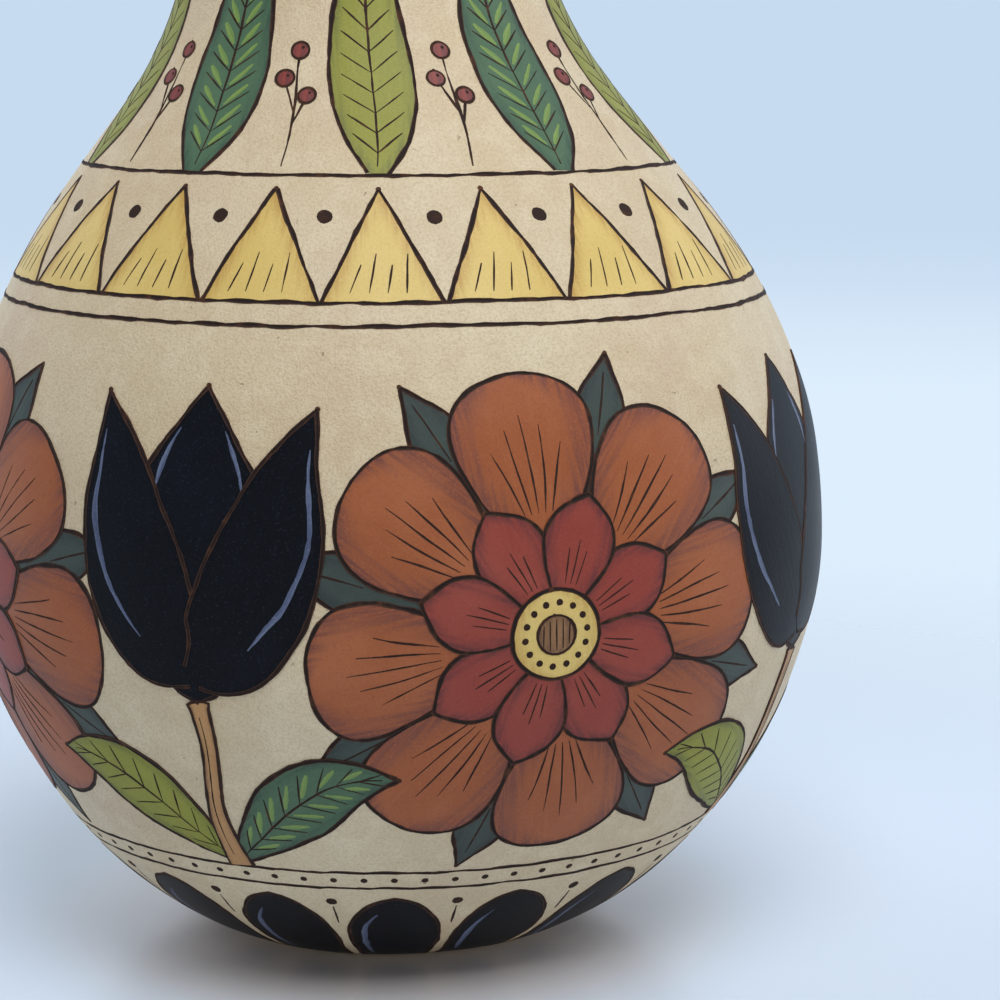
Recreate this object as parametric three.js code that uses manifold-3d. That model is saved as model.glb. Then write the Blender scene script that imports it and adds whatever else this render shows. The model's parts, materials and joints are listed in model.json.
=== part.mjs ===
// A dried bottle gourd, kept whole as a painted ornament: the hard hollow rind, its woody stem, the pith
// that lines the rind, three shrivelled lobes of pulp on its floor, and the loose seeds that rattle in it.
// Millimetres, +Z up. The origin is the middle of the flat foot, and the neck leans towards -X.
import * as THREE from "three";
import { mergeVertices } from "three/addons/utils/BufferGeometryUtils.js";
import Module from "manifold-3d";

const wasm = await Module();
wasm.setup();

// Outer form of the rind
const FOOT_RADIUS = 35;
const BELLY_RADIUS = 115;
const BELLY_HEIGHT = 110;
const SHOULDER_RADIUS = 50.4;
const SHOULDER_RISE = 142; // above the belly's widest ring
const NECK_RADIUS = 43;
const NECK_RISE = 38; // above the shoulder
const CROWN_RISE = 62; // above the neck's narrowest ring

// How full the profile is: the share of a stretch's rise or run that the handle of its curve takes
const FOOT_FULLNESS = 0.41;
const BELLY_FULLNESS_BELOW = 0.51;
const BELLY_FULLNESS_ABOVE = 0.565;
const SHOULDER_TAPER = 0.37; // radius lost for each unit of height at the shoulder
const SHOULDER_FULLNESS_BELOW = 0.293;
const SHOULDER_FULLNESS_ABOVE = 0.36;
const NECK_FULLNESS_BELOW = 0.42;
const NECK_FULLNESS_ABOVE = 0.58;
const CROWN_FULLNESS = 0.52;

// Irregular growth: the neck leans, and the rings are a little oval and three-sided
const LEAN = 14.5; // sideways drift of the crown
const LEAN_START = 95; // height where the lean sets in
const OVAL_SHARE = 0.012;
const OVAL_TURN = 0.6;
const THREE_SIDED_SHARE = 0.008;
const THREE_SIDED_TURN = 1.1;

// Walls and fits
const RIND_WALL = 5;
const PITH_THICKNESS = 2.5;
const FIT_GAP = 0.3;

// Stem
const STEM_HOLE_RADIUS = 7;
const STEM_PLUG_BELOW_RIND = 2;
const STEM_COLLAR_RADIUS = 13;
const STEM_COLLAR_HEIGHT = 11;
const STALK_RADIUS = 5.6;
const STALK_RIB_SHARE = 0.14;
const STALK_RIBS = 5;
const STALK_RISE = 44;
const STALK_REACH = 15;

// Pulp lobes, one for each of the fruit's three seed chambers
const PULP_LOBES = 3;
const PULP_WIDTH = 32;
const PULP_HEIGHT = 24;
const PULP_SPACING = 2; // least gap between lobes
const PULP_SLUMP = 0.4; // share of its height below its widest ring

// Loose seeds, in rings on the floor
const SEED_LENGTH = 15;
const SEED_WIDTH = 7.6;
const SEED_TIP_WIDTH = 3;
const SEED_THICKNESS = 3.2;
const SEED_EDGE = 0.8;
const SEED_SPACING = 3;
const SEEDS_IN_RINGS = [10, 14];
const SEED_TURN = THREE.MathUtils.degToRad(137.5); // each seed lies turned this far from the one before

// Fineness of the mesh
const RING_SEGMENTS = 48;
const CURVE_STEPS = [9, 10, 5, 7]; // foot to belly, belly to shoulder, shoulder to neck, neck to crown
const STALK_STEPS = 8;
const STALK_SIDES = 20;
const LOBE_SEGMENTS = [16, 10];
const MERGE_DISTANCE = 1e-4;

const shoulderHeight = BELLY_HEIGHT + SHOULDER_RISE;
const neckHeight = shoulderHeight + NECK_RISE;
const crownHeight = neckHeight + CROWN_RISE;

// The rind's outer profile from the edge of the foot to the edge of the stem hole, as four curves that run
// smoothly into each other. x is the radius and y the height.
function outerProfile() {
  const at = (radius, height) => new THREE.Vector2(radius, height);
  const foot = at(FOOT_RADIUS, 0);
  const belly = at(BELLY_RADIUS, BELLY_HEIGHT);
  const shoulder = at(SHOULDER_RADIUS, shoulderHeight);
  const neck = at(NECK_RADIUS, neckHeight);
  const crown = at(STEM_HOLE_RADIUS, crownHeight);
  const alongShoulder = (rise) => at(SHOULDER_RADIUS - SHOULDER_TAPER * rise, shoulderHeight + rise);
  const stretches = [
    [
      foot,
      at(FOOT_RADIUS + FOOT_FULLNESS * (BELLY_RADIUS - FOOT_RADIUS), 0),
      at(BELLY_RADIUS, BELLY_HEIGHT * (1 - BELLY_FULLNESS_BELOW)),
      belly,
    ],
    [
      belly,
      at(BELLY_RADIUS, BELLY_HEIGHT + BELLY_FULLNESS_ABOVE * SHOULDER_RISE),
      alongShoulder(-SHOULDER_FULLNESS_BELOW * SHOULDER_RISE),
      shoulder,
    ],
    [
      shoulder,
      alongShoulder(SHOULDER_FULLNESS_ABOVE * NECK_RISE),
      at(NECK_RADIUS, neckHeight - NECK_FULLNESS_BELOW * NECK_RISE),
      neck,
    ],
    [
      neck,
      at(NECK_RADIUS, neckHeight + NECK_FULLNESS_ABOVE * CROWN_RISE),
      at(STEM_HOLE_RADIUS + CROWN_FULLNESS * (NECK_RADIUS - STEM_HOLE_RADIUS), crownHeight),
      crown,
    ],
  ];
  const points = [foot];
  stretches.forEach((handles, i) => {
    const curve = new THREE.CubicBezierCurve(...handles);
    points.push(...curve.getPoints(CURVE_STEPS[i]).slice(1));
  });
  return points;
}

// A profile moved inwards by depth along its normals. Its ends lie where the rind is level, so they move
// straight up or down.
function insetProfile(points, depth) {
  const last = points.length - 1;
  return points.map((point, i) => {
    if (i === 0) return new THREE.Vector2(point.x, point.y + depth);
    if (i === last) return new THREE.Vector2(point.x, point.y - depth);
    const along = points[i + 1].clone().sub(points[i - 1]).normalize();
    return new THREE.Vector2(point.x - along.y * depth, point.y + along.x * depth);
  });
}

// Revolves a profile of radius and height about the Z axis.
function revolve(points) {
  const geometry = new THREE.LatheGeometry(points, RING_SEGMENTS);
  return geometry.rotateX(Math.PI / 2);
}

// Sideways drift of the gourd's middle line at a height
function leanAt(height) {
  const share = Math.max(0, height - LEAN_START) / (crownHeight - LEAN_START);
  return -LEAN * share * share;
}

// How much wider than a circle the gourd is in a direction round its middle line
function girthAt(angle) {
  const oval = OVAL_SHARE * Math.cos(2 * angle + OVAL_TURN);
  const threeSided = THREE_SIDED_SHARE * Math.cos(3 * angle + THREE_SIDED_TURN);
  return 1 + oval + threeSided;
}

// Gives a straight round form the gourd's lean and uneven girth.
function grow(geometry) {
  const places = geometry.getAttribute("position");
  for (let i = 0; i < places.count; i++) {
    const [x, y, z] = [places.getX(i), places.getY(i), places.getZ(i)];
    const girth = girthAt(Math.atan2(y, x));
    places.setXYZ(i, x * girth + leanAt(z), y * girth, z);
  }
  geometry.computeVertexNormals();
  return geometry;
}

function solidOf(geometry) {
  const bare = geometry.clone();
  bare.deleteAttribute("normal");
  bare.deleteAttribute("uv");
  const merged = mergeVertices(bare, MERGE_DISTANCE);
  const vertProperties = new Float32Array(merged.getAttribute("position").array);
  const triVerts = new Uint32Array(merged.index.array);
  return new wasm.Manifold(new wasm.Mesh({ numProp: 3, vertProperties, triVerts }));
}

function geometryOf(solid) {
  const { vertProperties, triVerts } = solid.getMesh();
  const geometry = new THREE.BufferGeometry();
  geometry.setAttribute("position", new THREE.BufferAttribute(vertProperties, 3));
  geometry.setIndex(new THREE.BufferAttribute(triVerts, 1));
  geometry.computeVertexNormals();
  return geometry;
}

const finish = (color, roughness) => new THREE.MeshStandardMaterial({ color, roughness, metalness: 0 });
const finishes = {
  rind: finish("#cdbd9b", 0.55),
  stem: finish("#8a6d4a", 0.85),
  pith: finish("#e6dcc4", 0.95),
  pulp: finish("#cfae7c", 0.95),
  seed: finish("#b08a5a", 0.7),
};

const gourd = new THREE.Group();

function addPiece(name, geometry, material) {
  const piece = new THREE.Mesh(geometry, material);
  piece.name = name;
  gourd.add(piece);
  return piece;
}

// Rind: one shell, closed and flat at the foot, with a round hole at the crown that the stem grows out of
const rindOutside = outerProfile();
const rindInside = insetProfile(rindOutside, RIND_WALL);

// A revolved wall between two profiles, closed on the axis at the foot and open at the crown
function wallBetween(outside, inside) {
  const onAxis = (point) => new THREE.Vector2(0, point.y);
  return revolve([onAxis(outside[0]), ...outside, ...inside.toReversed(), onAxis(inside[0])]);
}

addPiece("gourd_rind", grow(wallBetween(rindOutside, rindInside)), finishes.rind);

// Pith: the dry spongy layer against the inside of the rind
const pithOutside = insetProfile(rindOutside, RIND_WALL + FIT_GAP);
const pithInside = insetProfile(rindOutside, RIND_WALL + FIT_GAP + PITH_THICKNESS);
addPiece("pith_lining", grow(wallBetween(pithOutside, pithInside)), finishes.pith);

// Stem: a plug through the rind and the pith, a collar on the crown and a ribbed stalk that bends over
function stemGeometry() {
  const plugRadius = STEM_HOLE_RADIUS - FIT_GAP;
  const plugEnd = crownHeight - RIND_WALL - STEM_PLUG_BELOW_RIND;
  const seat = crownHeight + FIT_GAP;
  const collarTop = seat + STEM_COLLAR_HEIGHT;
  const flare = new THREE.QuadraticBezierCurve(
    new THREE.Vector2(STEM_COLLAR_RADIUS, seat),
    new THREE.Vector2(STALK_RADIUS, seat + STEM_COLLAR_HEIGHT / 4),
    new THREE.Vector2(STALK_RADIUS, collarTop),
  );
  const plugAndCollar = revolve([
    new THREE.Vector2(0, plugEnd),
    new THREE.Vector2(plugRadius, plugEnd),
    new THREE.Vector2(plugRadius, seat),
    ...flare.getPoints(4),
    new THREE.Vector2(0, collarTop),
  ]);
  const ribbed = Array.from({ length: STALK_SIDES }, (_, i) => {
    const angle = (2 * Math.PI * i) / STALK_SIDES;
    const radius = STALK_RADIUS * (1 + STALK_RIB_SHARE * Math.cos(STALK_RIBS * angle));
    return new THREE.Vector2(radius * Math.cos(angle), radius * Math.sin(angle));
  });
  const middleLine = new THREE.QuadraticBezierCurve3(
    new THREE.Vector3(0, 0, seat + STEM_COLLAR_HEIGHT / 2),
    new THREE.Vector3(0, 0, seat + STEM_COLLAR_HEIGHT / 2 + STALK_RISE / 2),
    new THREE.Vector3(-STALK_REACH, 0, seat + STALK_RISE),
  );
  const stalk = new THREE.ExtrudeGeometry(new THREE.Shape(ribbed), {
    extrudePath: middleLine,
    steps: STALK_STEPS,
  });
  return geometryOf(solidOf(plugAndCollar).add(solidOf(stalk)));
}

addPiece("stem", grow(stemGeometry()), finishes.stem);

// The hollow that the pulp lies in, a fit gap clear of the pith
const hollowProfile = insetProfile(rindOutside, RIND_WALL + PITH_THICKNESS + 2 * FIT_GAP);
const floorHeight = hollowProfile[0].y;

function hollowSolid() {
  const floorMiddle = new THREE.Vector2(0, floorHeight);
  const topMiddle = new THREE.Vector2(0, hollowProfile.at(-1).y);
  return solidOf(grow(revolve([floorMiddle, ...hollowProfile, topMiddle])));
}

// Pulp: dry lobes side by side round the middle of the floor, each flattened where it lies on the pith
const pulpRadius = PULP_WIDTH / 2;
const pulpOffset = (pulpRadius + PULP_SPACING / 2) / Math.sin(Math.PI / PULP_LOBES);
const hollow = hollowSolid();
for (let i = 0; i < PULP_LOBES; i++) {
  const angle = (2 * Math.PI * i) / PULP_LOBES;
  const lobe = new THREE.SphereGeometry(1, ...LOBE_SEGMENTS).rotateX(Math.PI / 2);
  lobe.scale(pulpRadius, pulpRadius, PULP_HEIGHT * (1 - PULP_SLUMP));
  const [x, y] = [pulpOffset * Math.cos(angle), pulpOffset * Math.sin(angle)];
  lobe.translate(x, y, floorHeight + PULP_HEIGHT * PULP_SLUMP);
  addPiece(`pulp_lobe_${i + 1}`, geometryOf(solidOf(lobe).intersect(hollow)), finishes.pulp);
}

// Seeds: flat and oblong, squared off at one end and narrow at the other, with a rounded edge
function seedGeometry() {
  const half = SEED_LENGTH / 2 - SEED_EDGE;
  const wide = SEED_WIDTH / 2 - SEED_EDGE;
  const tip = SEED_TIP_WIDTH / 2;
  const outline = new THREE.Shape();
  outline.moveTo(-half, -tip);
  outline.bezierCurveTo(-half / 2, -wide, 0, -wide, half, -wide);
  outline.lineTo(half, wide);
  outline.bezierCurveTo(0, wide, -half / 2, wide, -half, tip);
  const geometry = new THREE.ExtrudeGeometry(outline, {
    depth: SEED_THICKNESS - 2 * SEED_EDGE,
    curveSegments: 3,
    bevelThickness: SEED_EDGE,
    bevelSize: SEED_EDGE,
    bevelSegments: 1,
  });
  return geometry.translate(0, 0, SEED_EDGE);
}

// Height of the hollow's floor at a radius
function floorAt(radius) {
  const outer = hollowProfile.findIndex((point) => point.x > radius);
  if (outer <= 0) return floorHeight;
  const [a, b] = [hollowProfile[outer - 1], hollowProfile[outer]];
  return THREE.MathUtils.mapLinear(radius, a.x, b.x, a.y, b.y);
}

// A seed's place at a radius of the floor: along the slope, and lifted until both its ends clear the floor
function seedSeat(radius) {
  const half = SEED_LENGTH / 2;
  const slope = Math.atan2(floorAt(radius + half) - floorAt(radius - half), SEED_LENGTH);
  const [run, rise] = [half * Math.cos(slope), half * Math.sin(slope)];
  const height = Math.max(floorAt(radius), floorAt(radius + run) - rise, floorAt(radius - run) + rise);
  return { slope, height };
}

const seedShape = seedGeometry();
let seedCount = 0;
let ringRadius = pulpOffset + pulpRadius + SEED_SPACING + SEED_LENGTH / 2;
for (const seedsInRing of SEEDS_IN_RINGS) {
  const { slope, height } = seedSeat(ringRadius);
  for (let i = 0; i < seedsInRing; i++) {
    seedCount += 1;
    const angle = (2 * Math.PI * (i + 0.5)) / seedsInRing;
    const name = `seed_${String(seedCount).padStart(2, "0")}`;
    const seed = addPiece(name, seedShape.clone(), finishes.seed);
    const radius = ringRadius * girthAt(angle);
    seed.position.set(radius * Math.cos(angle), radius * Math.sin(angle), height);
    seed.rotateZ(angle);
    seed.rotateY(-slope);
    seed.rotateZ(seedCount * SEED_TURN);
  }
  ringRadius += SEED_LENGTH + SEED_SPACING;
}

export default gourd;
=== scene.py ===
import json
import math
import random
from bisect import bisect_right

import bmesh
import bpy
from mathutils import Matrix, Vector, noise
from mathutils.geometry import interpolate_bezier


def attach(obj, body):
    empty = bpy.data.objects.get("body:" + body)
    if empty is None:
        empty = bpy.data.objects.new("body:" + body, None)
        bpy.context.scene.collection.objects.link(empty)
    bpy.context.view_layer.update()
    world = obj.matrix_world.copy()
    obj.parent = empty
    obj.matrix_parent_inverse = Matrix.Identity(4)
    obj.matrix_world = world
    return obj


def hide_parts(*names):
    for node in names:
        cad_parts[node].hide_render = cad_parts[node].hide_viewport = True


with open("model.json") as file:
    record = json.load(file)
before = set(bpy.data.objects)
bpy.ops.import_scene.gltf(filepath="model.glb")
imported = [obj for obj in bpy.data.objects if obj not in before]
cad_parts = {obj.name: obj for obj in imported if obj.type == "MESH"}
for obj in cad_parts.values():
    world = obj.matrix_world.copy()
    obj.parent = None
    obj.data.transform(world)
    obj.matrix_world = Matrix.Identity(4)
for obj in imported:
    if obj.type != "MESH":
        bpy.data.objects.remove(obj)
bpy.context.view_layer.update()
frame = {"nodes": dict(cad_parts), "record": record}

# Rind
# The hard dry shell of a bottle gourd, grown in one piece, scraped clean, sanded and sealed with a satin
# varnish. It stands on its flattened foot. The neck leans a little, and the belly is not quite round.
# Sizes are in mm, and what materials, lamps and the camera read is in metres
MM = 0.001
FOOT_RADIUS = 35
BELLY_RADIUS = 115
BELLY_HEIGHT = 110
SHOULDER_RADIUS = 50.4
SHOULDER_HEIGHT = 252
SHOULDER_TAPER = 0.37
NECK_RADIUS = 43
NECK_HEIGHT = 290
CROWN_HEIGHT = 352
STEM_HOLE_RADIUS = 7
# How far the profile keeps its direction at each turn of the form
FOOT_SWEEP = 32.8
BELLY_SWEEP_BELOW = 56.1
BELLY_SWEEP_ABOVE = 80.2
SHOULDER_SWEEP_BELOW = 41.6
SHOULDER_SWEEP_ABOVE = 13.7
NECK_SWEEP_BELOW = 16
NECK_SWEEP_ABOVE = 36
CROWN_SWEEP = 18.7
RIND_WALL = 5
LEAN = 14.5
LEAN_START = 95
OVAL_SHARE = 0.012
OVAL_TURN = 0.6
THREE_SIDED_SHARE = 0.008
THREE_SIDED_TURN = 1.1
LUMP_HEIGHT = 0.35
LUMP_WIDTH = 26
LUMP_FREE_FOOT = 30
CURVE_POINTS = 120
RIND_CELLS_ROUND = 224
RIND_CELLS_UP = 160
SEAM_MERGE = 1e-6


def by_shoulder(rise):
    """A point on the straight run of the profile through the shoulder."""
    return SHOULDER_RADIUS - SHOULDER_TAPER * rise, SHOULDER_HEIGHT + rise


belly = (BELLY_RADIUS, BELLY_HEIGHT)
neck = (NECK_RADIUS, NECK_HEIGHT)
crown = (STEM_HOLE_RADIUS, CROWN_HEIGHT)
stretches = (
    ((FOOT_RADIUS, 0), (FOOT_RADIUS + FOOT_SWEEP, 0),
     (BELLY_RADIUS, BELLY_HEIGHT - BELLY_SWEEP_BELOW), belly),
    (belly, (BELLY_RADIUS, BELLY_HEIGHT + BELLY_SWEEP_ABOVE),
     by_shoulder(-SHOULDER_SWEEP_BELOW), by_shoulder(0)),
    (by_shoulder(0), by_shoulder(SHOULDER_SWEEP_ABOVE),
     (NECK_RADIUS, NECK_HEIGHT - NECK_SWEEP_BELOW), neck),
    (neck, (NECK_RADIUS, NECK_HEIGHT + NECK_SWEEP_ABOVE),
     (STEM_HOLE_RADIUS + CROWN_SWEEP, CROWN_HEIGHT), crown),
)
profile = [Vector((0, 0)), Vector((FOOT_RADIUS, 0))]
for stretch in stretches:
    curve = interpolate_bezier(*(Vector(point).to_3d() for point in stretch), CURVE_POINTS)
    profile += [point.to_2d() for point in curve[1:]]
runs = [-FOOT_RADIUS]
for low, high in zip(profile, profile[1:]):
    runs.append(runs[-1] + (high - low).length)


def ring_at(along):
    """Radius and height, and the way out, at a distance in mm up the profile from the foot's edge."""
    i = min(max(bisect_right(runs, along) - 1, 0), len(runs) - 2)
    step = profile[i + 1] - profile[i]
    point = profile[i] + step * ((along - runs[i]) / (runs[i + 1] - runs[i]))
    step.normalize()
    return point, Vector((step.y, -step.x))


def lean_at(height):
    """How far the middle of the gourd has leaned over at a height."""
    share = max(0, height - LEAN_START) / (CROWN_HEIGHT - LEAN_START)
    return -LEAN * share * share


def on_rind(turn, along, lift=0):
    """A place in metres and the way out. turn is the angle from the front, lift the height off in mm."""
    point, slope = ring_at(along)
    angle = turn - math.pi / 2
    oval = OVAL_SHARE * math.cos(2 * angle + OVAL_TURN)
    three_sided = THREE_SIDED_SHARE * math.cos(3 * angle + THREE_SIDED_TURN)
    reach = point.x * (1 + oval + three_sided)
    spot = Vector((reach * math.cos(angle), reach * math.sin(angle), point.y))
    lump_share = min(max(along / LUMP_FREE_FOOT, 0), 1)
    lift += LUMP_HEIGHT * lump_share * noise.noise(spot / LUMP_WIDTH)
    out = Vector((slope.x * math.cos(angle), slope.x * math.sin(angle), slope.y))
    spot += lift * out
    spot.x += lean_at(point.y)
    return spot * MM, out


def make_piece(name, shape, material, body="gourd", sharp_deg=40):
    """Makes a shape a smooth-shaded object that rides on a body and fills a material slot."""
    mesh = bpy.data.meshes.new(name)
    shape.to_mesh(mesh)
    shape.free()
    mesh.shade_smooth()
    mesh.set_sharp_from_angle(angle=math.radians(sharp_deg))
    mesh.materials.append(material)
    piece = bpy.data.objects.new(name, mesh)
    bpy.context.scene.collection.objects.link(piece)
    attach(piece, body)
    return piece


def srgb(red, green, blue):
    """A colour as a painter reads it, 0 to 255, in the linear form that shaders take."""
    shares = (value / 255 for value in (red, green, blue))
    linear = [s / 12.92 if s <= 0.04045 else ((s + 0.055) / 1.055) ** 2.4 for s in shares]
    return (*linear, 1)


class Shade:
    """A value in a material's nodes. Arithmetic on it adds Math nodes."""

    def __init__(self, tree, socket):
        self.tree = tree
        self.socket = socket

    def node(self, kind, sockets, out=0, **settings):
        """A new node of a kind, with values or links for its sockets. Gives one of its outputs."""
        made = self.tree.nodes.new(kind)
        for key, setting in settings.items():
            setattr(made, key, setting)
        for key, value in sockets.items():
            if isinstance(value, Shade):
                self.tree.links.new(value.socket, made.inputs[key])
            else:
                made.inputs[key].default_value = value
        return Shade(self.tree, made.outputs[out])

    def math(self, operation, first, second):
        return self.node("ShaderNodeMath", {0: first, 1: second}, operation=operation)

    def __add__(self, other):
        return self.math("ADD", self, other)

    def __radd__(self, other):
        return self.math("ADD", other, self)

    def __sub__(self, other):
        return self.math("SUBTRACT", self, other)

    def __rsub__(self, other):
        return self.math("SUBTRACT", other, self)

    def __mul__(self, other):
        return self.math("MULTIPLY", self, other)

    def __rmul__(self, other):
        return self.math("MULTIPLY", other, self)

    def ramp(self, low, high):
        """0 below low and 1 above high, with a soft step between."""
        limits = {0: self, 1: low, 2: high, 3: 0.0, 4: 1.0}
        return self.node("ShaderNodeMapRange", limits, interpolation_type="SMOOTHSTEP")

    def mix(self, first, second):
        """The first colour where this value is 0 and the second where it is 1."""
        colours = {0: self, 6: first, 7: second}
        return self.node("ShaderNodeMix", colours, out=2, data_type="RGBA")

    def stretched(self, x, y, z):
        return self.node("ShaderNodeVectorMath", {0: self, 1: (x, y, z)}, operation="MULTIPLY")

    def noise(self, scale, detail=2.0, roughness=0.5):
        return self.node("ShaderNodeTexNoise", {
            "Vector": self, "Scale": scale, "Detail": detail, "Roughness": roughness,
        })

    def attribute(self, name):
        return self.node("ShaderNodeAttribute", {}, out="Fac", attribute_name=name)

    def bump(self, distance, strength=1.0):
        return self.node("ShaderNodeBump", {"Height": self, "Distance": distance, "Strength": strength})

    def feed(self, shader, socket):
        self.tree.links.new(self.socket, shader.inputs[socket])


def new_finish(name, roughness, specular=0.5):
    """A material, its shader and the Object coordinates that its patterns read."""
    material = bpy.data.materials.new(name)
    material.use_nodes = True
    tree = material.node_tree
    shader = tree.nodes["Principled BSDF"]
    shader.inputs["Roughness"].default_value = roughness
    shader.inputs["Specular IOR Level"].default_value = specular
    place = Shade(tree, tree.nodes.new("ShaderNodeTexCoord").outputs["Object"])
    return material, shader, place


RIND_LIGHT = srgb(226, 212, 180)
RIND_PALE = srgb(215, 198, 164)
RIND_TAN = srgb(205, 183, 145)
RIND_ROSY = srgb(207, 185, 156)
RIND_DEEP = srgb(176, 148, 110)
RIND_FLECK = srgb(128, 98, 64)
STEM_STAIN_REACH = (0.011, 0.03)
BLOSSOM_SCAR_REACH = (0.004, 0.007)
RIND_GRAIN_DEPTH = 0.00036


def rind_finish():
    """Satin varnish on a pale, blotched and grainy skin, stained round the stem and at the blossom scar."""
    material, shader, place = new_finish("varnished_rind", 0.5, 0.6)
    blotch = place.noise(14, 4, 0.6).ramp(0.36, 0.68)
    flush = place.stretched(1, 1, 0.8).noise(31, 5, 0.65).ramp(0.45, 0.7)
    mottle = place.noise(130, 3, 0.55).ramp(0.42, 0.66)
    grain = place.noise(1500, 2, 0.6)
    speck = place.noise(3100, 2, 0.7)
    pit = place.noise(240, 3, 0.75).ramp(0.7, 0.74)
    colour = blotch.mix(RIND_PALE, RIND_TAN)
    colour = (flush * 0.6).mix(colour, RIND_ROSY)
    colour = (mottle * 0.35).mix(colour, RIND_LIGHT)
    colour = (grain.ramp(0.42, 0.68) * 0.34).mix(colour, RIND_DEEP)
    colour = (speck.ramp(0.5, 0.7) * 0.3).mix(colour, RIND_DEEP)
    colour = (pit * 0.5).mix(colour, RIND_FLECK)
    stem_place = Vector((lean_at(CROWN_HEIGHT), 0, CROWN_HEIGHT)) * MM
    from_stem, from_scar = (
        place.node("ShaderNodeVectorMath", {0: place, 1: end}, out="Value", operation="DISTANCE")
        for end in (stem_place, (0, 0, 0)))
    stain = (1 - from_stem.ramp(*STEM_STAIN_REACH)) * 0.6 + (1 - from_scar.ramp(*BLOSSOM_SCAR_REACH))
    colour = (stain * (0.3 + blotch)).mix(colour, RIND_DEEP)
    colour.feed(shader, "Base Color")
    (0.44 + 0.2 * grain).feed(shader, "Roughness")
    (grain + 0.5 * speck - pit).bump(RIND_GRAIN_DEPTH, 0.8).feed(shader, "Normal")
    return material


rind_mesh = bmesh.new()
rind_grid = bmesh.ops.create_grid(
    rind_mesh, x_segments=RIND_CELLS_ROUND, y_segments=RIND_CELLS_UP, size=0.5)
for vert in rind_grid["verts"]:
    rise = (vert.co.y + 0.5) * (runs[-1] - runs[0])
    vert.co, _ = on_rind(vert.co.x * 2 * math.pi, runs[0] + rise)
bmesh.ops.remove_doubles(rind_mesh, verts=rind_mesh.verts, dist=SEAM_MERGE)
bmesh.ops.solidify(rind_mesh, geom=rind_mesh.faces[:], thickness=RIND_WALL * MM)
rind = make_piece("rind", rind_mesh, rind_finish())
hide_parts("gourd_rind")

# Inside of the gourd
# The pith is a pale spongy skin on the rind, the pulp has dried to three fibrous lobes, and the seeds lie
# loose on the floor. None of it shows, because the gourd was never cut.
INSIDE_COLOURS = {
    "pith": (srgb(236, 226, 201), srgb(205, 188, 150)),
    "pulp": (srgb(214, 182, 132), srgb(150, 112, 70)),
    "seed": (srgb(186, 148, 98), srgb(120, 86, 52)),
}
DRY_STRAND_DEPTH = 0.0004


def dry_finish(slot):
    """A dull fibrous skin, pale with deeper strands."""
    material, shader, place = new_finish(f"dry_{slot}", 0.9, 0.2)
    pale, deep = INSIDE_COLOURS[slot]
    strands = place.stretched(1, 1, 0.3).noise(420, 5, 0.7)
    strands.ramp(0.35, 0.7).mix(pale, deep).feed(shader, "Base Color")
    strands.bump(DRY_STRAND_DEPTH, 0.6).feed(shader, "Normal")
    return material


dry_finishes = {slot: dry_finish(slot) for slot in INSIDE_COLOURS}
for subpart in frame["record"]["subparts"]:
    if subpart["material_slot"] in dry_finishes:
        node = frame["nodes"][subpart["node"]]
        node.material_slots[0].material = dry_finishes[subpart["material_slot"]]

# Stem
# The woody stalk that the fruit hung on: a foot of five lobes that grips the crown, five ribs that twist
# a little with furrows between them, darkened with painted shade, and a ragged end where it was cut
# from the vine.
FIT_GAP = 0.3
STEM_PLUG_RADIUS = 6.7
STEM_PLUG_DEPTH = 7
STEM_PLUG_TOP = -0.4
STEM_COLLAR_RADIUS = 12.4
STEM_FOOT_HEIGHT = 4
STEM_FOOT_SINK = 0.1
STALK_RISE = 44
STALK_BEND_START = 5.5
STALK_REACH = 15
STALK_TILT = 0.75
STALK_RADIUS = 5.2
STALK_END_RADIUS = 6
STALK_END_RIM = STALK_RISE - 0.6
STALK_RIBS = 5
RIB_DEPTH = 0.36
RIB_MIDDLE = 0.62
RIB_TWIST = 0.02
SIDE_RIB_DEPTH = 0.05
KNOT_DEPTH = 0.08
RAGGED_LENGTH = 3
RAGGED_SHARE = 0.35
FIBRE_SHRINK = 0.1
BARK_DEPTH = 0.0006
STEM_POLE = 0.01
STEM_CELL = 0.7
STEM_CELLS_ROUND = 96
STEM_POLE_MERGE = 2e-5
SMOOTH_POINTS = 16
STEM_BARK = srgb(146, 117, 80)
# The bark's dark strands, and the painted shade in the furrows between the ribs
STEM_DARK_STRAND_AND_SHADE = srgb(70, 50, 32)
STEM_WEATHERED = srgb(178, 155, 118)
stem_seat = CROWN_HEIGHT + FIT_GAP


def smooth_line(points, gap):
    """Evenly spaced points on a curve through a few given ones. A third value of each goes along."""
    knots = [Vector(point).to_3d() for point in points]
    curve = []
    for before, start, end, after in zip(knots[:1] + knots, knots, knots[1:], knots[2:] + knots[-1:]):
        leave, arrive = start + (end - before) / 6, end - (after - start) / 6
        curve += interpolate_bezier(start, leave, arrive, end, SMOOTH_POINTS)[:-1]
    curve.append(knots[-1])
    lengths = [0]
    for low, high in zip(curve, curve[1:]):
        lengths.append(lengths[-1] + (high - low).to_2d().length)
    steps = max(2, round(lengths[-1] / gap))
    line = []
    for k in range(steps + 1):
        reach = lengths[-1] * k / steps
        i = min(max(bisect_right(lengths, reach) - 1, 0), len(curve) - 2)
        part = (reach - lengths[i]) / max(lengths[i + 1] - lengths[i], 1e-9)
        line.append(curve[i].lerp(curve[i + 1], min(part, 1)))
    return line


def crown_drop(radius):
    """How far the crown at a radius lies below the stem's seat."""
    radius = max(radius, STEM_HOLE_RADIUS)
    return stem_seat - min(point.y for point in profile[-CURVE_POINTS:] if point.x <= radius)


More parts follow.
